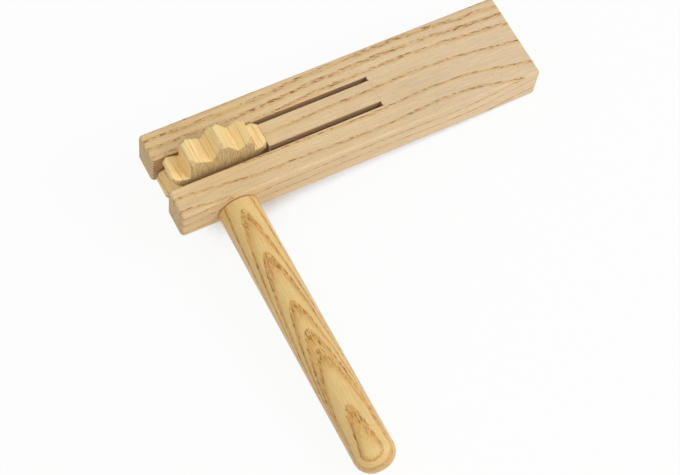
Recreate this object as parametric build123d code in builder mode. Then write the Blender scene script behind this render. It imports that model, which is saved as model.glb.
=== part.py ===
"""Hand-whirled wooden ratchet noisemaker.

The frame: the origin is on the handle's axis at its shoulder, +X runs along the block to its closed end,
-Y runs along the handle to its free end, and +Z is square to the block's large face.
Sizes are in millimetres.
"""
import math
import os

from build123d import *

# Block: a planed hardwood board, forked at the wheel's end
block_length = 205.0
block_width = 51.5
block_thickness = 20.0
block_edge_round = 1.2

# Slot: sawn right through the block from its open end to the tongue's root
slot_width = 18.8
slot_length = 120.6
slot_edge_round = 0.8

# Tongue: left between the two saw kerfs, flush with the top face, cut away below and bevelled under its tip
kerf_width = 2.5
tongue_thickness = 6.0
tongue_bite = 3.2
tongue_tip_bevel_height = 3.0
tongue_tip_bevel_length = 1.2
tongue_tip_round = 0.6

# Ratchet wheel: notches sawn by eye across a bevelled disc, so that teeth and notches are not quite even.
# Tooth angles count up from the block's length, and each valley lies after the tooth of the same place.
axle_from_open_end = 30.8
axle_below_top = 12.7
tooth_tip_radius = 29.4
tooth_angles = (27.6, 54.6, 88.4, 123.2, 152.5, 182.0, 211.5, 241.0, 270.5, 300.0, 329.0, 358.5)
valley_angles = (35.4, 64.2, 104.3, 146.4, 167.0, 196.5, 226.0, 255.5, 285.0, 314.5, 343.5, 373.0)
valley_depths = (6.3, 7.8, 9.6, 9.3, 8.8, 8.8, 8.8, 8.8, 8.8, 8.8, 8.8, 8.8)
tooth_land = 1.4
valley_floor = 0.8
tooth_round = 0.9
tooth_flat_left = 0.002
valley_round = 0.5
rim_bevel = 2.3
wheel_near_gap = 3.0
wheel_far_gap = 0.8

# Axle: a dowel glued into the handle, running in both cheeks
axle_diameter = 8.0
axle_end_recess = 0.6
axle_chamfer = 0.8

# Handle: a straight round grip with a rounded end
handle_diameter = 21.3
handle_length = 152.5
handle_end_round = 8.5
handle_socket_depth = 30.0
shoulder_gap = 0.5

# Wheel pin: a small dowel that keys the wheel to the axle
pin_diameter = 3.0
pin_sink = 0.6
pin_end_wall = 1.5
pin_valley_from_tongue = 7

# Fits, all radial or per face
running_clearance = 0.08
glue_gap = 0.04
socket_end_room = 1.0

# Places that several pieces share
block_near = shoulder_gap
block_far = block_near + block_width
block_open_end = -axle_from_open_end
block_middle_x = block_open_end + block_length / 2
block_middle_y = (block_near + block_far) / 2
block_top = axle_below_top
block_bottom = block_top - block_thickness
slot_near = block_middle_y - slot_width / 2
slot_far = block_middle_y + slot_width / 2
tongue_root = block_open_end + slot_length
tongue_tip = tooth_tip_radius - tongue_bite
tongue_width = slot_width - 2 * kerf_width
wheel_near = slot_near + wheel_near_gap
wheel_far = slot_far - wheel_far_gap
wheel_middle = (wheel_near + wheel_far) / 2
valley_radii = [tooth_tip_radius - depth for depth in valley_depths]
land_half_angle = math.degrees(math.asin(tooth_land / 2 / tooth_tip_radius))
axle_radius = axle_diameter / 2
pin_radius = pin_diameter / 2
pin_outer = valley_radii[pin_valley_from_tongue] - pin_sink
pin_inner = pin_end_wall - axle_radius
pin_valley_angle = valley_angles[pin_valley_from_tongue]


def square_to_axle(y):
    """Plane across the axle at y, with its normal towards the handle."""
    return Plane.XZ.offset(-y)


def polar(radius, degrees):
    """Point of the wheel's outline."""
    turn = math.radians(degrees)
    return (radius * math.cos(turn), radius * math.sin(turn))


def floor_half_angle(valley_radius):
    """Half of the angle that a valley's floor takes up round the axle."""
    return math.degrees(math.asin(valley_floor / 2 / valley_radius))


def flank_turn(tip_angle, valley_angle, valley_radius):
    """Angle by which the outline turns from a tooth's land into the flank towards a valley."""
    side = math.copysign(1, valley_angle - tip_angle)
    tip_corner = Vector(*polar(tooth_tip_radius, tip_angle + side * land_half_angle))
    valley_corner = Vector(*polar(valley_radius, valley_angle - side * floor_half_angle(valley_radius)))
    return Vector(*polar(side, tip_angle + 90)).get_angle(valley_corner - tip_corner)


def tooth_round_room(place):
    """Largest rounding that both corners of a tooth's land have room for."""
    tip_angle = tooth_angles[place]
    valley_before = valley_angles[place - 1] if place else valley_angles[-1] - 360
    before = flank_turn(tip_angle, valley_before, valley_radii[place - 1])
    after = flank_turn(tip_angle, valley_angles[place], valley_radii[place])
    taken = math.tan(math.radians(before / 2)) + math.tan(math.radians(after / 2))
    return (tooth_land - tooth_flat_left) / taken


def along_pin(radius):
    """Plane square to the wheel pin, at a distance from the axle's centre."""
    across, up = polar(1.0, pin_valley_angle)
    outward = Vector(across, 0, up)
    return Plane(origin=Vector(0, wheel_middle, 0) + outward * radius, x_dir=(0, 1, 0), z_dir=outward)


os.makedirs("parts", exist_ok=True)

# Block with its slot and the axle's two bearings
with BuildPart() as block:
    with BuildSketch(Plane.XY.offset(block_bottom)):
        with Locations((block_middle_x, block_middle_y)):
            Rectangle(block_length, block_width)
    extrude(amount=block_thickness)
    fillet(block.edges(), block_edge_round)
    with BuildSketch(Plane.XY.offset(block_bottom)):
        with Locations((block_open_end, block_middle_y)):
            Rectangle(slot_length, slot_width, align=(Align.MIN, Align.CENTER))
    extrude(amount=block_thickness, mode=Mode.SUBTRACT)
    cheek_walls = block.faces().filter_by(Plane.XZ).filter_by_position(Axis.Y, slot_near, slot_far)
    mouth_edges = cheek_walls.edges().filter_by_position(
        Axis.X, block_open_end, tongue_root, inclusive=(True, False)
    )
    fillet(mouth_edges, slot_edge_round)
    with BuildSketch(square_to_axle(block_far)):
        Circle(axle_radius + running_clearance)
    extrude(amount=block_width, mode=Mode.SUBTRACT)
block.part.label = "block"
export_step(block.part, "parts/block.step")

# Tongue, from its root in the block to its tip in the wheel's teeth
with BuildPart() as tongue:
    with BuildSketch(Plane.XY.offset(block_top)):
        with Locations((tongue_tip, block_middle_y)):
            Rectangle(tongue_root - tongue_tip, tongue_width, align=(Align.MIN, Align.CENTER))
    extrude(amount=-tongue_thickness)
    tip_edges = tongue.edges().filter_by(Axis.Y).group_by(Axis.X)[0].sort_by(Axis.Z)
    tip_face = tongue.faces().sort_by(Axis.X)[0]
    chamfer(tip_edges[0], tongue_tip_bevel_height, tongue_tip_bevel_length, reference=tip_face)
    top_tip_edge = tongue.edges().filter_by(Axis.Y).group_by(Axis.X)[0].sort_by(Axis.Z)[-1]
    fillet(top_tip_edge, tongue_tip_round)
tongue.part.label = "tongue"
export_step(tongue.part, "parts/tongue.step")

# Ratchet wheel with its glued bore and the pin's hole in one valley
tip_round = min(tooth_round, *(tooth_round_room(place) for place in range(len(tooth_angles))))
with BuildPart() as ratchet_wheel:
    with BuildSketch(square_to_axle(wheel_far)) as toothed_disc:
        with BuildLine():
            outline = []
            for tip_angle, valley_angle, valley_radius in zip(tooth_angles, valley_angles, valley_radii):
                floor_half = floor_half_angle(valley_radius)
                outline.append(polar(tooth_tip_radius, tip_angle - land_half_angle))
                outline.append(polar(tooth_tip_radius, tip_angle + land_half_angle))
                outline.append(polar(valley_radius, valley_angle - floor_half))
                outline.append(polar(valley_radius, valley_angle + floor_half))
            Polyline(*outline, close=True)
        make_face()
        corners = toothed_disc.vertices().sort_by(SortBy.DISTANCE)
        fillet(corners[: 2 * len(valley_angles)], valley_round)
        fillet(toothed_disc.vertices().group_by(SortBy.DISTANCE)[-1], tip_round)
    extrude(amount=wheel_far - wheel_near)
    with BuildSketch(Plane.XY):
        with Locations((0, wheel_near)):
            Rectangle(tooth_tip_radius, wheel_far - wheel_near, align=(Align.MIN, Align.MIN))
        chamfer(vertices().group_by(Axis.X)[-1], rim_bevel)
    revolve(axis=Axis.Y, mode=Mode.INTERSECT)
    with BuildSketch(square_to_axle(wheel_far)):
        Circle(axle_radius + glue_gap)
    extrude(amount=wheel_far - wheel_near, mode=Mode.SUBTRACT)
    with BuildSketch(along_pin(0)):
        Circle(pin_radius + glue_gap)
    extrude(amount=tooth_tip_radius, mode=Mode.SUBTRACT)
ratchet_wheel.part.label = "ratchet_wheel"
export_step(ratchet_wheel.part, "parts/ratchet_wheel.step")

# Axle with the pin's cross hole
with BuildPart() as axle:
    with BuildSketch(square_to_axle(block_far - axle_end_recess)):
        Circle(axle_radius)
    extrude(amount=block_far - axle_end_recess + handle_socket_depth)
    chamfer(axle.edges().filter_by(GeomType.CIRCLE), axle_chamfer)
    with BuildSketch(along_pin(pin_inner - glue_gap)):
        Circle(pin_radius + glue_gap)
    extrude(amount=axle_diameter, mode=Mode.SUBTRACT)
axle.part.label = "axle"
export_step(axle.part, "parts/axle.step")

# Handle with its rounded end and the axle's socket
with BuildPart() as handle:
    with BuildSketch(square_to_axle(0)):
        Circle(handle_diameter / 2)
    extrude(amount=handle_length)
    fillet(handle.edges().group_by(Axis.Y)[0], handle_end_round)
    with BuildSketch(square_to_axle(0)):
        Circle(axle_radius + glue_gap)
    extrude(amount=handle_socket_depth + socket_end_room, mode=Mode.SUBTRACT)
handle.part.label = "handle"
export_step(handle.part, "parts/handle.step")

# Wheel pin, from the floor of one valley into the axle
with BuildPart() as wheel_pin:
    with BuildSketch(along_pin(pin_inner)):
        Circle(pin_radius)
    extrude(amount=pin_outer - pin_inner)
wheel_pin.part.label = "wheel_pin"
export_step(wheel_pin.part, "parts/wheel_pin.step")
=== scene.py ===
"""Looks of the hand-whirled wooden ratchet noisemaker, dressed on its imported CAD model.

Shapes are in metres, in the CAD frame. Wood figure is worked out in millimetres, in board axes whose X runs
along the fibres, so a growth ring is as wide in the material as it is in the wood.
"""
import math

import bmesh
import bpy
from mathutils import Matrix, Vector


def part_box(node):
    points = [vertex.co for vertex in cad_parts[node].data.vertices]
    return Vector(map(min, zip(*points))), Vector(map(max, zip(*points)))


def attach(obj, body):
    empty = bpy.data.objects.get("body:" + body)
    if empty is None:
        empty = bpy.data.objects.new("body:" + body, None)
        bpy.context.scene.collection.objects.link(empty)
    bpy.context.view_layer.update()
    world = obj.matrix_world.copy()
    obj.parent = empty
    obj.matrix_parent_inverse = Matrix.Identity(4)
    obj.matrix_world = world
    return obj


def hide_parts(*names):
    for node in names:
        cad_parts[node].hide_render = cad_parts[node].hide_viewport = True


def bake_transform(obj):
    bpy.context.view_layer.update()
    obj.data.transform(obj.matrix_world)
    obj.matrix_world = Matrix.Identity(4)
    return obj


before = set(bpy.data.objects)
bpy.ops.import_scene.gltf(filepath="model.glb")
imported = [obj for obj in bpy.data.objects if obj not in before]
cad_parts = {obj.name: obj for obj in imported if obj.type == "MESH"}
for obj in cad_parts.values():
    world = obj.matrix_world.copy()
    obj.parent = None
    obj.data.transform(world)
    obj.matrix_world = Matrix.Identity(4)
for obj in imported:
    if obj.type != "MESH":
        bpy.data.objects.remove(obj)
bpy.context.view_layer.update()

MM = 0.001

# Photograph's viewpoint
PHOTO_WIDTH = 680
FOCAL_PIXELS = 1853.6
SENSOR_WIDTH = 36.0
CAMERA_PLACE = Vector((-0.22222, -0.38675, 0.80967))
CAMERA_RIGHT = Vector((0.88290, -0.46193, 0.08428))
CAMERA_FORWARD = Vector((0.28343, 0.38118, -0.87998))

# Block: rings of a rift-sawn ash board, round a pith that lay well below its far side
BLOCK_PITH_Y = 95.1
BLOCK_PITH_Z = -107.3
BLOCK_RING_EDGES = (
    104.0, 108.5, 113.0, 117.0, 120.8, 124.0, 126.2, 128.0, 130.0, 132.3, 137.2, 143.6, 148.9, 153.7, 159.0,
)

# Block: how far its rings stray sideways, at places along the board, on its near and far sides
BLOCK_STRAY_NEAR = ((-30, 6.0), (12, 1.5), (45, 0.5), (85, -0.6), (122, 1.0), (145, -1.2), (175, -8.0))
BLOCK_STRAY_FAR = ((-30, -1.8), (20, -2.8), (50, -1.2), (85, 0.4), (115, 0.3), (145, -1.2), (175, -3.2))
BLOCK_STRAY_NEAR_Y = 5.0
BLOCK_STRAY_FAR_Y = 43.0

# Block: the slot and the two ends
SLOT_MIDDLE_Y = 26.25
SLOT_HALF_WIDTH = 9.5
SLOT_END_X = 89.9
BLOCK_OPEN_END_X = -30.8
BLOCK_CLOSED_END_X = 174.2

# Block mesh: edges rounded as in the solid, and the open end rubbed rounder by use
BLOCK_EDGE_ROUND = 1.2 * MM
SLOT_EDGE_ROUND = 0.8 * MM
SLOT_HALF_OPENING = 9.4 * MM
OPEN_END_ROUND = 2.2 * MM
TOUCH = 0.001 * MM

# Handle: nearly flat rings that lean out of the axis, so that they leave the surface in long arches
HANDLE_PITH_X = 34.2
HANDLE_PITH_Z = -270.9
HANDLE_LEAN_X = -0.339
HANDLE_LEAN_Z = 0.0298
HANDLE_RING_EDGES = (
    261.5, 264.2, 267.0, 269.1, 272.4, 276.0, 280.6, 284.1, 286.2, 288.7, 290.5, 291.7, 295.2, 301.0,
)

# Handle: how far its rings dip near the free end, which closes the last arch to a loop
HANDLE_DIP = 1.1
HANDLE_DIP_START_Y = -120.0
HANDLE_DIP_END_Y = -142.0

# Handle: where its vessels grow sparser towards the free end
HANDLE_SPARSE_START_Y = -105.0
HANDLE_SPARSE_END_Y = -130.0

# Wheel and dowels: plain straight wood with even rings
WHEEL_PITH_X = -95.0
WHEEL_RING_WIDTH = 2.7
DOWEL_PITH_X = -30.0
DOWEL_RING_WIDTH = 1.9

# Tongue mesh: its tip is shaped as in the solid
TONGUE_STEPS = 36
TONGUE_TIP_STEPS = 5
TONGUE_TIP_ROUND = 0.6 * MM
TONGUE_BEVEL_HEIGHT = 3.0 * MM
TONGUE_BEVEL_LENGTH = 1.2 * MM
TONGUE_EDGE_SOFTENING = 0.25 * MM
SMOOTH_ANGLE = math.radians(40)

# Floor under the three points that the toy rests on when laid down, and how far the camera sees it as plain
# white. Close under the toy, within the reach of its deep shade, it is seen as it is lit.
FLOOR_SIZE = 6.0
FLOOR_GAP = 0.0002
FLOOR_WHITE = 0.92
FLOOR_PAPER_SHARE = 0.92
FLOOR_SHADE_REACH = 0.06
FLOOR_SHADE_START = 0.36
FLOOR_SHADE_FULL = 0.23

# Light that the white surroundings give the toy, and the point that the lamps are aimed at
ROOM_LIGHT = 0.56
LAMP_TARGET = Vector((0.07, -0.04, 0.0))


def tone(red, green, blue):
    """Scene-linear colour from a colour as a screen shows it, 0 to 255."""
    linear = []
    for level in (red, green, blue):
        share = level / 255
        linear.append(share / 12.92 if share <= 0.04045 else ((share + 0.055) / 1.055) ** 2.4)
    return (*linear, 1.0)


def feed(tree, source, target):
    """Links a socket from another one, or gives it a plain value."""
    if isinstance(source, bpy.types.NodeSocket):
        tree.links.new(source, target)
    else:
        target.default_value = source


def calc(tree, operation, first, second=0.0, third=0.0):
    """Math node's result."""
    node = tree.nodes.new("ShaderNodeMath")
    node.operation = operation
    for socket, source in zip(node.inputs, (first, second, third)):
        feed(tree, source, socket)
    return node.outputs[0]


def scaled(tree, place, scale):
    """A place stretched by a factor on each axis."""
    node = tree.nodes.new("ShaderNodeVectorMath")
    node.operation = "MULTIPLY"
    feed(tree, place, node.inputs[0])
    feed(tree, scale, node.inputs[1])
    return node.outputs[0]


def split(tree, place):
    """X, Y and Z of a place."""
    node = tree.nodes.new("ShaderNodeSeparateXYZ")
    feed(tree, place, node.inputs[0])
    return node.outputs


def joined(tree, x, y, z):
    """A place from X, Y and Z."""
    node = tree.nodes.new("ShaderNodeCombineXYZ")
    for socket, source in zip(node.inputs, (x, y, z)):
        feed(tree, source, socket)
    return node.outputs[0]


def fade(tree, value, start, end, at_start=0.0, at_end=1.0):
    """Smooth step of a value from start to end."""
    node = tree.nodes.new("ShaderNodeMapRange")
    node.interpolation_type = "SMOOTHSTEP"
    for label, source in zip(
        ("Value", "From Min", "From Max", "To Min", "To Max"), (value, start, end, at_start, at_end)
    ):
        feed(tree, source, node.inputs[label])
    return node.outputs["Result"]


def mixed(tree, share, first, second):
    """Colour mixed from two, by a share."""
    node = tree.nodes.new("ShaderNodeMix")
    node.data_type = "RGBA"
    feed(tree, share, node.inputs[0])
    feed(tree, first, node.inputs[6])
    feed(tree, second, node.inputs[7])
    return node.outputs[2]


def mottle(tree, place, scale, detail=2.0, roughness=0.5):
    """Noise value, about 0.5 on average, with so many features per millimetre on each axis."""
    node = tree.nodes.new("ShaderNodeTexNoise")
    feed(tree, scaled(tree, place, scale), node.inputs["Vector"])
    node.inputs["Scale"].default_value = 1.0
    node.inputs["Detail"].default_value = detail
    node.inputs["Roughness"].default_value = roughness
    return node.outputs["Fac"]


def sway(tree, place, scale, reach, detail=2.0):
    """Noise value that swings about zero, by up to a reach."""
    return calc(tree, "MULTIPLY_ADD", mottle(tree, place, scale, detail), 2 * reach, -reach)


def specks(tree, place, scale):
    """Distance from scattered points, and a random value for each point."""
    node = tree.nodes.new("ShaderNodeTexVoronoi")
    feed(tree, scaled(tree, place, scale), node.inputs["Vector"])
    node.inputs["Scale"].default_value = 1.0
    draw = split(tree, node.outputs["Color"])[0]
    return node.outputs["Distance"], draw


def new_group(name, inputs, outputs):
    """Empty shader node group with its sockets, each a label, a kind and for inputs a starting value."""
    group = bpy.data.node_groups.new(name, "ShaderNodeTree")
    for label, kind, value in inputs:
        socket = group.interface.new_socket(label, in_out="INPUT", socket_type=kind)
        socket.default_value = value
    for label, kind in outputs:
        group.interface.new_socket(label, in_out="OUTPUT", socket_type=kind)
    return group, group.nodes.new("NodeGroupInput").outputs, group.nodes.new("NodeGroupOutput").inputs


def ash_figure_group():
    """Colour and height of ring-porous wood, from board place and distance past the last ring edge."""
    group, given, out = new_group(
        "ash_figure",
        (
            ("Board Place", "NodeSocketVector", (0.0, 0.0, 0.0)),
            ("Ring Age", "NodeSocketFloat", 0.0),
            ("Porous Width", "NodeSocketFloat", 1.0),
            ("Pore Amount", "NodeSocketFloat", 0.6),
            ("Pore Length", "NodeSocketFloat", 4.0),
            ("Pore Pitch", "NodeSocketFloat", 0.6),
            ("Pore Slant", "NodeSocketFloat", 0.0),
            ("Pore Depth", "NodeSocketFloat", 0.6),
            ("Early Share", "NodeSocketFloat", 0.7),
            ("Streak", "NodeSocketFloat", 0.1),
            ("Latewood", "NodeSocketColor", tone(220, 195, 155)),
            ("Earlywood", "NodeSocketColor", tone(205, 168, 118)),
            ("Pore", "NodeSocketColor", tone(150, 105, 62)),
        ),
        (("Colour", "NodeSocketColor"), ("Pores", "NodeSocketFloat"), ("Height", "NodeSocketFloat")),
    )
    place = given["Board Place"]
    width = given["Porous Width"]

    # Earlywood starts sharply at the ring edge and thins out into the latewood
    ragged = sway(group, place, (0.2, 1.2, 1.2), reach=0.7, detail=3.0)
    age = calc(group, "MULTIPLY_ADD", ragged, width, given["Ring Age"])
    early_full = calc(group, "MULTIPLY", width, 0.4)
    early_gone = calc(group, "MULTIPLY", width, 2.1)
    rising = fade(group, age, 0.0, early_full)
    thinning = fade(group, age, early_full, early_gone, 1.0, 0.0)
    early = calc(group, "MULTIPLY", rising, thinning)
    vessels_thin = calc(group, "MULTIPLY", width, 0.6)
    vessels_gone = calc(group, "MULTIPLY", width, 1.3)
    vessel_band = fade(group, age, vessels_thin, vessels_gone, 1.0, 0.0)

    # Vessels: slim tubes along the fibres, cut open as dashes on long faces and as dots on end grain.
    # They come in clusters, with sparse stretches between.
    along, across, up = split(group, place)
    squiggle = sway(group, place, (0.4, 0.4, 0.4), reach=0.45)
    leaning = calc(group, "MULTIPLY_ADD", along, given["Pore Slant"], squiggle)
    slanted = joined(group, along, calc(group, "ADD", across, leaning), calc(group, "ADD", up, squiggle))
    lengthwise = calc(group, "DIVIDE", 1.0, given["Pore Length"])
    crosswise = calc(group, "DIVIDE", 1.0, given["Pore Pitch"])
    large_gap, large_draw = specks(group, slanted, joined(group, lengthwise, crosswise, crosswise))
    cluster = fade(group, mottle(group, place, (0.045, 0.16, 0.16)), 0.36, 0.58, 0.45, 1.0)
    large_amount = calc(group, "MULTIPLY", given["Pore Amount"], cluster)
    large_kept = calc(group, "LESS_THAN", large_draw, large_amount)
    large = calc(group, "MULTIPLY", fade(group, large_gap, 0.3, 0.56, 1.0, 0.0), large_kept)
    darkness = fade(group, mottle(group, place, (0.12, 0.7, 0.7)), 0.3, 0.65, 0.55, 1.0)
    vessels = calc(group, "MULTIPLY", calc(group, "MULTIPLY", large, vessel_band), darkness)

    # Fine pores, scattered evenly through both woods
    small_amount = 0.4
    small_gap, small_draw = specks(group, place, (0.4, 2.2, 2.2))
    small_kept = calc(group, "LESS_THAN", small_draw, small_amount)
    small = calc(group, "MULTIPLY", fade(group, small_gap, 0.16, 0.36, 0.24, 0.0), small_kept)
    pores = calc(group, "MAXIMUM", vessels, small)

    # Broad tone, fine fibre streaks and the two woods of a ring
    broad = sway(group, place, (0.012, 0.1, 0.1), reach=0.12)
    fibre = calc(group, "SUBTRACT", mottle(group, place, (0.09, 1.6, 1.6), 4.0, 0.65), 0.5)
    gain = calc(group, "ADD", calc(group, "MULTIPLY_ADD", fibre, given["Streak"], broad), 1.0)
    early_share = calc(group, "MULTIPLY", early, given["Early Share"])
    wood = mixed(group, early_share, given["Latewood"], given["Earlywood"])
    lit = scaled(group, wood, joined(group, gain, gain, gain))
    pore_share = calc(group, "MULTIPLY", pores, given["Pore Depth"])
    feed(group, mixed(group, pore_share, lit, given["Pore"]), out["Colour"])
    feed(group, pores, out["Pores"])

    # Pores sink in, and the fibres stand out a little
    fibre_height = 0.16
    sunk = calc(group, "MULTIPLY", pores, -1.0)
    feed(group, calc(group, "MULTIPLY_ADD", fibre, fibre_height, sunk), out["Height"])
    return group


def end_grain_group():
    """Darker, drier look where the fibres are cut across, with rays and open vessel ends."""
    group, given, out = new_group(
        "end_grain",
        (
            ("Colour", "NodeSocketColor", tone(220, 195, 155)),
            ("Across Fibres", "NodeSocketFloat", 0.0),
            ("Board Place", "NodeSocketVector", (0.0, 0.0, 0.0)),
            ("Ray Grain", "NodeSocketVector", (0.2, 0.7, 0.35)),
            ("Darkening", "NodeSocketFloat", 0.3),
            ("Tint", "NodeSocketColor", tone(170, 145, 118)),
        ),
        (("Colour", "NodeSocketColor"), ("Roughness", "NodeSocketFloat")),
    )
    cut = fade(group, calc(group, "ABSOLUTE", given["Across Fibres"]), 0.35, 0.9)
    rays = mottle(group, given["Board Place"], given["Ray Grain"], 4.0, 0.6)
    patch = fade(group, rays, 0.25, 0.75, 0.3, 1.2)
    share = calc(group, "MULTIPLY", calc(group, "MULTIPLY", cut, patch), given["Darkening"])
    feed(group, mixed(group, share, given["Colour"], given["Tint"]), out["Colour"])
    feed(group, calc(group, "MULTIPLY", cut, 0.18), out["Roughness"])
    return group


def rubbed_edges_group():
    """Normal that rounds off edges worn by hands and by sanding."""
    group, given, out = new_group(
        "rubbed_edges", (("Wear Radius", "NodeSocketFloat", 0.5 * MM),), (("Normal", "NodeSocketVector"),)
    )
    rounding = group.nodes.new("ShaderNodeBevel")
    feed(group, given["Wear Radius"], rounding.inputs["Radius"])
    feed(group, rounding.outputs["Normal"], out["Normal"])
    return group


ash_figure = ash_figure_group()
end_grain = end_grain_group()
rubbed_edges = rubbed_edges_group()


def placed_group(tree, group, **values):
    """A node group in a material, its inputs given by label with underscores for spaces."""
    node = tree.nodes.new("ShaderNodeGroup")
    node.node_tree = group
    for label, source in values.items():
        feed(tree, source, node.inputs[label.replace("_", " ")])
    return node.outputs


def new_finish(name):
    """New material with its Principled shader."""
    material = bpy.data.materials.new(name)
    material.use_nodes = True
    shader = material.node_tree.nodes["Principled BSDF"]
    shader.inputs["Specular IOR Level"].default_value = 0.35
    return material, material.node_tree, shader


def wood_place(tree):
    """Place on the piece in millimetres, and the direction its surface faces."""
    node = tree.nodes.new("ShaderNodeTexCoord")
    return scaled(tree, node.outputs["Object"], (1 / MM,) * 3), split(tree, node.outputs["Normal"])


def listed_ring_age(tree, radius, edges):
    """Distance past the last of the listed ring edges."""
    first, last = edges[0], edges[-1]
    widest = max(after - before for before, after in zip(edges, edges[1:]))
    node = tree.nodes.new("ShaderNodeValToRGB")
    stops = node.color_ramp.elements
    stops[0].position = 0.0
    stops[0].color = (0.0, 0.0, 0.0, 1.0)
    stops[1].position = 1.0
    stops[1].color = (0.0, 0.0, 0.0, 1.0)
    for before, after in zip(edges, edges[1:]):
        grown = (after - before) / widest
        just_before = stops.new((after - first) / (last - first) - 0.001)
        just_before.color = (grown, grown, grown, 1.0)
        if after < last:
            edge = stops.new((after - first) / (last - first))
            edge.color = (0.0, 0.0, 0.0, 1.0)
    share = calc(tree, "DIVIDE", calc(tree, "SUBTRACT", radius, first), last - first)
    feed(tree, share, node.inputs["Fac"])
    return calc(tree, "MULTIPLY", node.outputs["Color"], widest)


def even_ring_age(tree, radius, width):
    """Distance past the last ring edge where rings are about equally wide."""
    return calc(tree, "MULTIPLY", calc(tree, "FRACT", calc(tree, "DIVIDE", radius, width)), width)


def ring_radius(tree, board, y, z, wobble):
    """Distance from the pith, with the slow waves of a real trunk."""
    distance = calc(tree, "SQRT", calc(tree, "MULTIPLY_ADD", y, y, calc(tree, "MULTIPLY", z, z)))
    return calc(tree, "ADD", distance, sway(tree, board, (0.02, 0.05, 0.05), reach=wobble))


def lay_surface(tree, shader, colour, cut_roughness, figure, roughness, depth, edge_wear):
    """Colour, roughness and relief of a wood surface.

    Open pores and cut fibres are rougher, pores sink in, and edges look rubbed round by the given radius.
    """
    feed(tree, colour, shader.inputs["Base Color"])
    open_pores = calc(tree, "MULTIPLY_ADD", figure["Pores"], 0.15, cut_roughness)
    feed(tree, calc(tree, "ADD", open_pores, roughness), shader.inputs["Roughness"])
    bump = tree.nodes.new("ShaderNodeBump")
    bump.inputs["Strength"].default_value = 0.5
    bump.inputs["Distance"].default_value = depth
    feed(tree, figure["Height"], bump.inputs["Height"])
    feed(tree, placed_group(tree, rubbed_edges, Wear_Radius=edge_wear)["Normal"], bump.inputs["Normal"])
    feed(tree, bump.outputs["Normal"], shader.inputs["Normal"])


def stray(tree, x, places):
    """Smooth line through listed pairs of a place along the board and a distance sideways."""
    first, last = places[0][0], places[-1][0]
    least = min(sideways for _, sideways in places)
    most = max(sideways for _, sideways in places)
    node = tree.nodes.new("ShaderNodeValToRGB")
    node.color_ramp.interpolation = "CARDINAL"
    stops = node.color_ramp.elements
    stops.remove(stops[1])
    for number, (along, sideways) in enumerate(places):
        position = (along - first) / (last - first)
        stop = stops.new(position) if number else stops[0]
        stop.position = position
        level = (sideways - least) / (most - least)
        stop.color = (level, level, level, 1.0)
    share = calc(tree, "DIVIDE", calc(tree, "SUBTRACT", x, first), last - first)
    feed(tree, share, node.inputs["Fac"])
    return calc(tree, "MULTIPLY_ADD", node.outputs["Color"], most - least, least)


def block_ring_radius(tree, board):
    """Distance from the block's pith, whose line wanders along the board."""
    x, y, z = split(tree, board)
    far_share = fade(tree, y, BLOCK_STRAY_NEAR_Y, BLOCK_STRAY_FAR_Y)
    near_share = calc(tree, "SUBTRACT", 1.0, far_share)
    near_stray = calc(tree, "MULTIPLY", stray(tree, x, BLOCK_STRAY_NEAR), near_share)
    drift = calc(tree, "MULTIPLY_ADD", stray(tree, x, BLOCK_STRAY_FAR), far_share, near_stray)
    waver = sway(tree, board, (0.05, 0.02, 0.02), reach=0.8)
    straight_y = calc(tree, "SUBTRACT", y, calc(tree, "ADD", drift, waver))
    from_pith_y = calc(tree, "SUBTRACT", straight_y, BLOCK_PITH_Y)
    from_pith_z = calc(tree, "SUBTRACT", z, BLOCK_PITH_Z)
    return ring_radius(tree, board, from_pith_y, from_pith_z, wobble=0.3)


def block_finish():
    """Pale oiled ash of the block and its tongue, with the sawn faces inside the slot browned, partly as saw
    burn and partly as painted shade of the deep slot.
    """
    material, tree, shader = new_finish("oiled_ash_board")
    board, facing = wood_place(tree)
    x, y, _ = split(tree, board)
    along = fade(tree, x, BLOCK_OPEN_END_X, BLOCK_CLOSED_END_X)
    figure = placed_group(
        tree,
        ash_figure,
        Board_Place=board,
        Ring_Age=listed_ring_age(tree, block_ring_radius(tree, board), BLOCK_RING_EDGES),
        Porous_Width=0.75,
        Pore_Amount=0.95,
        Pore_Length=5.2,
        Pore_Pitch=0.42,
        Pore_Slant=0.09,
        Pore_Depth=1.0,
        Early_Share=0.55,
        Streak=0.5,
        Latewood=mixed(tree, along, tone(226, 195, 147), tone(226, 200, 161)),
        Earlywood=tone(213, 166, 94),
        Pore=tone(134, 77, 14),
    )
    ends = placed_group(
        tree,
        end_grain,
        Colour=figure["Colour"],
        Across_Fibres=facing[0],
        Board_Place=board,
        Darkening=0.4,
        Tint=tone(165, 138, 108),
    )

    # Walls of the slot and sides of the tongue browned, partly as saw burn and partly as painted shade deep
    # in the slot
    from_slot_middle = calc(tree, "ABSOLUTE", calc(tree, "SUBTRACT", y, SLOT_MIDDLE_Y))
    across_slot = calc(tree, "LESS_THAN", from_slot_middle, SLOT_HALF_WIDTH)
    in_slot = calc(tree, "MULTIPLY", across_slot, calc(tree, "LESS_THAN", x, SLOT_END_X))
    # Painted shade and saw burn together: the brown stands partly for the shade inside the slot, so faces
    # turned up are left pale
    saw_burn_and_shade_brown = tone(150, 112, 80)
    not_on_top = fade(tree, facing[2], 0.5, 0.9, 0.6, 0.0)
    saw_burn_and_shade_share = calc(tree, "MULTIPLY", in_slot, not_on_top)
    colour = mixed(tree, saw_burn_and_shade_share, ends["Colour"], saw_burn_and_shade_brown)
    lay_surface(
        tree, shader, colour, ends["Roughness"], figure,
        roughness=0.5, depth=0.15 * MM, edge_wear=0.5 * MM,
    )
    return material


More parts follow.
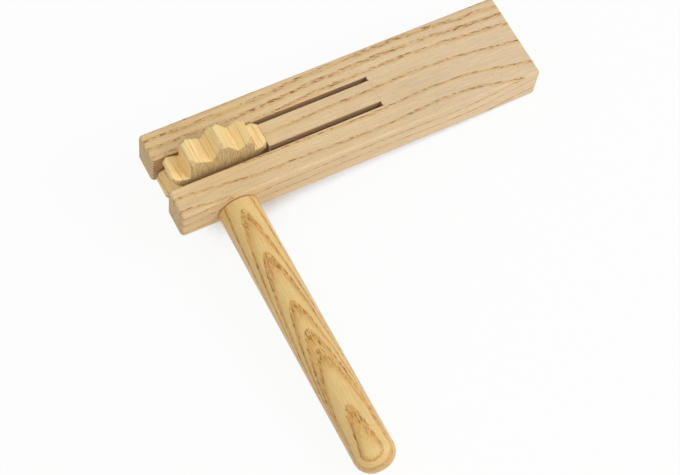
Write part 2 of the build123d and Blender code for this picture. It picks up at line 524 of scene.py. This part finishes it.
def handle_finish():
    """Yellow ash under clear lacquer, its rings leaving the round surface in arches."""
    material, tree, shader = new_finish("lacquered_ash_grip")
    shader.inputs["Coat Weight"].default_value = 0.3
    shader.inputs["Coat Roughness"].default_value = 0.3
    place, facing = wood_place(tree)
    x, y, z = split(tree, place)
    board = joined(tree, y, x, z)
    from_pith_x = calc(tree, "SUBTRACT", calc(tree, "MULTIPLY_ADD", y, -HANDLE_LEAN_X, x), HANDLE_PITH_X)
    from_pith_z = calc(tree, "SUBTRACT", calc(tree, "MULTIPLY_ADD", y, -HANDLE_LEAN_Z, z), HANDLE_PITH_Z)
    level_radius = ring_radius(tree, board, from_pith_x, from_pith_z, wobble=0.25)
    dip = fade(tree, y, HANDLE_DIP_START_Y, HANDLE_DIP_END_Y, 0.0, HANDLE_DIP)
    radius = calc(tree, "SUBTRACT", level_radius, dip)
    figure = placed_group(
        tree,
        ash_figure,
        Board_Place=board,
        Ring_Age=listed_ring_age(tree, radius, HANDLE_RING_EDGES),
        Porous_Width=0.82,
        Pore_Amount=fade(tree, y, HANDLE_SPARSE_START_Y, HANDLE_SPARSE_END_Y, 0.95, 0.78),
        Pore_Length=4.4,
        Pore_Pitch=0.36,
        Pore_Slant=0.0,
        Pore_Depth=1.0,
        Early_Share=0.66,
        Streak=0.5,
        Latewood=tone(231, 196, 129),
        Earlywood=tone(205, 143, 54),
        Pore=tone(112, 58, 4),
    )
    ends = placed_group(
        tree,
        end_grain,
        Colour=figure["Colour"],
        Across_Fibres=facing[1],
        Board_Place=board,
        Darkening=0.25,
        Tint=tone(190, 150, 95),
    )
    lay_surface(
        tree, shader, ends["Colour"], ends["Roughness"], figure,
        roughness=0.4, depth=0.08 * MM, edge_wear=0.4 * MM,
    )
    return material


def wheel_finish():
    """Yellow wood of the wheel, its fibres along the axle, so that the flat sides are end grain."""
    material, tree, shader = new_finish("wheel_hardwood")
    place, facing = wood_place(tree)
    x, y, z = split(tree, place)
    board = joined(tree, y, x, z)
    uneven = sway(tree, board, (0.01, 0.13, 0.03), reach=4.5)
    from_pith_x = calc(tree, "ADD", calc(tree, "SUBTRACT", x, WHEEL_PITH_X), uneven)
    radius = ring_radius(tree, board, from_pith_x, z, wobble=0.6)
    figure = placed_group(
        tree,
        ash_figure,
        Board_Place=board,
        Ring_Age=even_ring_age(tree, radius, WHEEL_RING_WIDTH),
        Porous_Width=0.3,
        Pore_Amount=0.6,
        Pore_Length=9.0,
        Pore_Pitch=0.5,
        Pore_Slant=0.0,
        Pore_Depth=0.55,
        Early_Share=0.7,
        Streak=0.7,
        Latewood=tone(250, 220, 158),
        Earlywood=tone(220, 180, 114),
        Pore=tone(140, 94, 40),
    )
    ends = placed_group(
        tree,
        end_grain,
        Colour=figure["Colour"],
        Across_Fibres=facing[1],
        Board_Place=board,
        Ray_Grain=(0.2, 1.7, 0.12),
        Darkening=0.65,
        Tint=tone(150, 118, 78),
    )
    lay_surface(
        tree, shader, ends["Colour"], ends["Roughness"], figure,
        roughness=0.46, depth=0.12 * MM, edge_wear=1.6 * MM,
    )
    return material


def dowel_finish():
    """Plain birch-like dowel of the axle and the wheel pin."""
    material, tree, shader = new_finish("dowel_rod")
    place, facing = wood_place(tree)
    x, y, z = split(tree, place)
    board = joined(tree, y, x, z)
    radius = ring_radius(tree, board, calc(tree, "SUBTRACT", x, DOWEL_PITH_X), z, wobble=0.4)
    figure = placed_group(
        tree,
        ash_figure,
        Board_Place=board,
        Ring_Age=even_ring_age(tree, radius, DOWEL_RING_WIDTH),
        Porous_Width=0.35,
        Pore_Amount=0.4,
        Pore_Length=4.0,
        Pore_Pitch=0.5,
        Pore_Slant=0.0,
        Pore_Depth=0.5,
        Early_Share=0.6,
        Streak=0.15,
        Latewood=tone(224, 196, 150),
        Earlywood=tone(208, 172, 120),
        Pore=tone(165, 122, 75),
    )
    ends = placed_group(
        tree,
        end_grain,
        Colour=figure["Colour"],
        Across_Fibres=facing[1],
        Board_Place=board,
        Darkening=0.5,
        Tint=tone(165, 135, 98),
    )
    lay_surface(
        tree, shader, ends["Colour"], ends["Roughness"], figure,
        roughness=0.48, depth=0.08 * MM, edge_wear=0.2 * MM,
    )
    return material


def finish_node(name, material):
    """New material in every slot of a CAD node."""
    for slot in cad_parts[name].material_slots:
        slot.material = material


def rubbed_place(place, side, planed_round, share):
    """A coordinate moved in from one side of the open end, if it lies on the edge that is rubbed rounder."""
    if abs(place - side) > planed_round + TOUCH:
        return place
    return side + (place - side) * (1 + (OPEN_END_ROUND / planed_round - 1) * share)


def rubbed_block(material):
    """The block with its slot and bearings, its open end rubbed rounder than its planed edges."""
    low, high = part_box("block")
    slot_middle = SLOT_MIDDLE_Y * MM
    sides = (
        (low.y, BLOCK_EDGE_ROUND), (slot_middle - SLOT_HALF_OPENING, SLOT_EDGE_ROUND),
        (slot_middle + SLOT_HALF_OPENING, SLOT_EDGE_ROUND), (high.y, BLOCK_EDGE_ROUND),
    )
    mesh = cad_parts["block"].data.copy()
    mesh.name = "rubbed_block"
    for vertex in mesh.vertices:
        x, y, z = vertex.co
        if x - low.x > BLOCK_EDGE_ROUND + TOUCH:
            continue
        share = 1 - (x - low.x) / BLOCK_EDGE_ROUND
        for side, planed_round in sides:
            y = rubbed_place(y, side, planed_round, share)
        for side in (low.z, high.z):
            z = rubbed_place(z, side, BLOCK_EDGE_ROUND, share)
        vertex.co = (low.x + (x - low.x) * OPEN_END_ROUND / BLOCK_EDGE_ROUND, y, z)
    mesh.materials.clear()
    mesh.materials.append(material)
    piece = bpy.data.objects.new("rubbed_block", mesh)
    bpy.context.scene.collection.objects.link(piece)
    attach(piece, "block")
    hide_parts("block")


def tongue_section(bm, x, inset, low, high):
    """One ring of the tongue across its length: softened corners, lower face rising at the bevelled tip."""
    soft = TONGUE_EDGE_SOFTENING
    near, far = low.y, high.y
    into_bevel = max(0.0, low.x + TONGUE_BEVEL_LENGTH - x) / TONGUE_BEVEL_LENGTH
    under = low.z + TONGUE_BEVEL_HEIGHT * into_bevel
    over = high.z - inset
    corners = (
        (near + soft, under), (far - soft, under), (far, under + soft), (far, over - soft),
        (far - soft, over), (near + soft, over), (near, over - soft), (near, under + soft),
    )
    return [bm.verts.new((x, y, z)) for y, z in corners]


def sprung_tongue(material):
    """The springy strip between the kerfs, cut finely enough along its length to bend."""
    low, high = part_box("tongue")
    bevel_start = low.x + TONGUE_BEVEL_LENGTH
    round_start = low.x + TONGUE_TIP_ROUND
    bm = bmesh.new()
    rings = []
    for step in range(TONGUE_STEPS + 1):
        x = high.x + (bevel_start - high.x) * step / TONGUE_STEPS
        rings.append(tongue_section(bm, x, 0.0, low, high))
    for step in range(TONGUE_TIP_STEPS + 1):
        turn = math.radians(90) * step / TONGUE_TIP_STEPS
        inset = TONGUE_TIP_ROUND * (1 - math.cos(turn))
        rings.append(tongue_section(bm, round_start - TONGUE_TIP_ROUND * math.sin(turn), inset, low, high))
    for ring, following in zip(rings, rings[1:]):
        for i in range(len(ring)):
            j = (i + 1) % len(ring)
            bm.faces.new((ring[i], ring[j], following[j], following[i]))
    bm.faces.new(rings[0])
    bm.faces.new(rings[-1])
    bmesh.ops.recalc_face_normals(bm, faces=bm.faces)
    mesh = bpy.data.meshes.new("sprung_tongue")
    bm.to_mesh(mesh)
    bm.free()
    mesh.polygons.foreach_set("use_smooth", [True] * len(mesh.polygons))
    mesh.set_sharp_from_angle(angle=SMOOTH_ANGLE)
    mesh.materials.append(material)
    piece = bpy.data.objects.new("sprung_tongue", mesh)
    bpy.context.scene.collection.objects.link(piece)
    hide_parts("tongue")
    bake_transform(piece)


def seen_as_background(tree):
    """1 where the camera sees a surface straight, mirrored or through glass, and 0 for the light it gives."""
    path = tree.nodes.new("ShaderNodeLightPath").outputs
    mirrored = calc(tree, "MAXIMUM", path["Is Glossy Ray"], path["Is Transmission Ray"])
    return calc(tree, "MAXIMUM", path["Is Camera Ray"], mirrored)


def floor_finish():
    """White floor that the camera sees as white paper, with the toy's soft shadow left on it.

    It is clear from below, so that the toy's underside can be looked at.
    """
    material, tree, shader = new_finish("white_floor")
    shader.inputs["Base Color"].default_value = (FLOOR_WHITE, FLOOR_WHITE, FLOOR_WHITE, 1.0)
    shader.inputs["Roughness"].default_value = 0.9
    shader.inputs["Specular IOR Level"].default_value = 0.0
    openness = tree.nodes.new("ShaderNodeAmbientOcclusion")
    openness.inputs["Distance"].default_value = FLOOR_SHADE_REACH
    in_open = fade(tree, openness.outputs["AO"], FLOOR_SHADE_FULL, FLOOR_SHADE_START)
    paper_share = calc(tree, "MULTIPLY", in_open, FLOOR_PAPER_SHARE)
    paper = tree.nodes.new("ShaderNodeEmission")
    paper.inputs["Strength"].default_value = 1.0
    lit = tree.nodes.new("ShaderNodeMixShader")
    feed(tree, calc(tree, "MULTIPLY", seen_as_background(tree), paper_share), lit.inputs[0])
    feed(tree, shader.outputs[0], lit.inputs[1])
    feed(tree, paper.outputs[0], lit.inputs[2])
    sided = tree.nodes.new("ShaderNodeMixShader")
    feed(tree, tree.nodes.new("ShaderNodeNewGeometry").outputs["Backfacing"], sided.inputs[0])
    feed(tree, lit.outputs[0], sided.inputs[1])
    feed(tree, tree.nodes.new("ShaderNodeBsdfTransparent").outputs[0], sided.inputs[2])
    feed(tree, sided.outputs[0], tree.nodes["Material Output"].inputs["Surface"])
    return material


def resting_floor():
    """Plane under the wheel, the handle's end and the block's near closed corner."""
    wheel_low, wheel_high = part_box("ratchet_wheel")
    handle_low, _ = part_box("handle")
    block_low, block_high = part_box("block")
    under_wheel = Vector((0.0, (wheel_low.y + wheel_high.y) / 2, wheel_low.z))
    under_handle = Vector((0.0, handle_low.y, handle_low.z))
    under_block = Vector((block_high.x, block_low.y, block_low.z))
    normal = (under_block - under_wheel).cross(under_handle - under_wheel).normalized()
    if normal.z < 0:
        normal.negate()
    across = Vector((1, 0, 0)) - normal * normal.x
    across.normalize()
    bm = bmesh.new()
    bmesh.ops.create_grid(bm, x_segments=1, y_segments=1, size=FLOOR_SIZE / 2)
    mesh = bpy.data.meshes.new("floor")
    bm.to_mesh(mesh)
    bm.free()
    mesh.materials.append(floor_finish())
    floor = bpy.data.objects.new("floor", mesh)
    turn = Matrix((across, normal.cross(across), normal)).transposed().to_4x4()
    floor.matrix_world = Matrix.Translation(under_wheel - normal * FLOOR_GAP) @ turn
    bpy.context.scene.collection.objects.link(floor)


def soft_lamp(name, place, size, power):
    """Large square lamp aimed at the toy."""
    lamp = bpy.data.lights.new(name, "AREA")
    lamp.size = size
    lamp.energy = power
    holder = bpy.data.objects.new(name, lamp)
    holder.location = place
    holder.rotation_euler = (LAMP_TARGET - place).to_track_quat("-Z", "Y").to_euler()
    bpy.context.scene.collection.objects.link(holder)


def studio_light():
    """Even white surroundings, plain white where they are seen past the floor, and two large lamps."""
    world = bpy.data.worlds.new("studio")
    bpy.context.scene.world = world
    world.use_nodes = True
    tree = world.node_tree
    background = tree.nodes["Background"]
    background.inputs["Color"].default_value = (1.0, 1.0, 1.0, 1.0)
    strength = calc(tree, "MULTIPLY_ADD", seen_as_background(tree), 1.0 - ROOM_LIGHT, ROOM_LIGHT)
    feed(tree, strength, background.inputs["Strength"])
    soft_lamp("key_lamp", Vector((1.6, -1.4, 2.2)), size=1.8, power=38.0)
    soft_lamp("fill_lamp", Vector((-1.2, -1.2, 2.4)), size=2.4, power=12.0)


def photo_camera():
    """Camera at the photograph's viewpoint."""
    lens = bpy.data.cameras.new("photo_camera")
    lens.sensor_fit = "HORIZONTAL"
    lens.sensor_width = SENSOR_WIDTH
    lens.lens = FOCAL_PIXELS * SENSOR_WIDTH / PHOTO_WIDTH
    camera = bpy.data.objects.new("photo_camera", lens)
    up = CAMERA_RIGHT.cross(CAMERA_FORWARD)
    turn = Matrix((CAMERA_RIGHT, up, -CAMERA_FORWARD)).transposed().to_4x4()
    camera.matrix_world = Matrix.Translation(CAMERA_PLACE) @ turn
    bpy.context.scene.collection.objects.link(camera)
    bpy.context.scene.camera = camera


ash_board = block_finish()
dowel_rod = dowel_finish()
rubbed_block(ash_board)
finish_node("handle", handle_finish())
finish_node("ratchet_wheel", wheel_finish())
finish_node("axle", dowel_rod)
finish_node("wheel_pin", dowel_rod)
sprung_tongue(ash_board)

resting_floor()
studio_light()
photo_camera()
bpy.context.scene.view_settings.view_transform = "Standard"
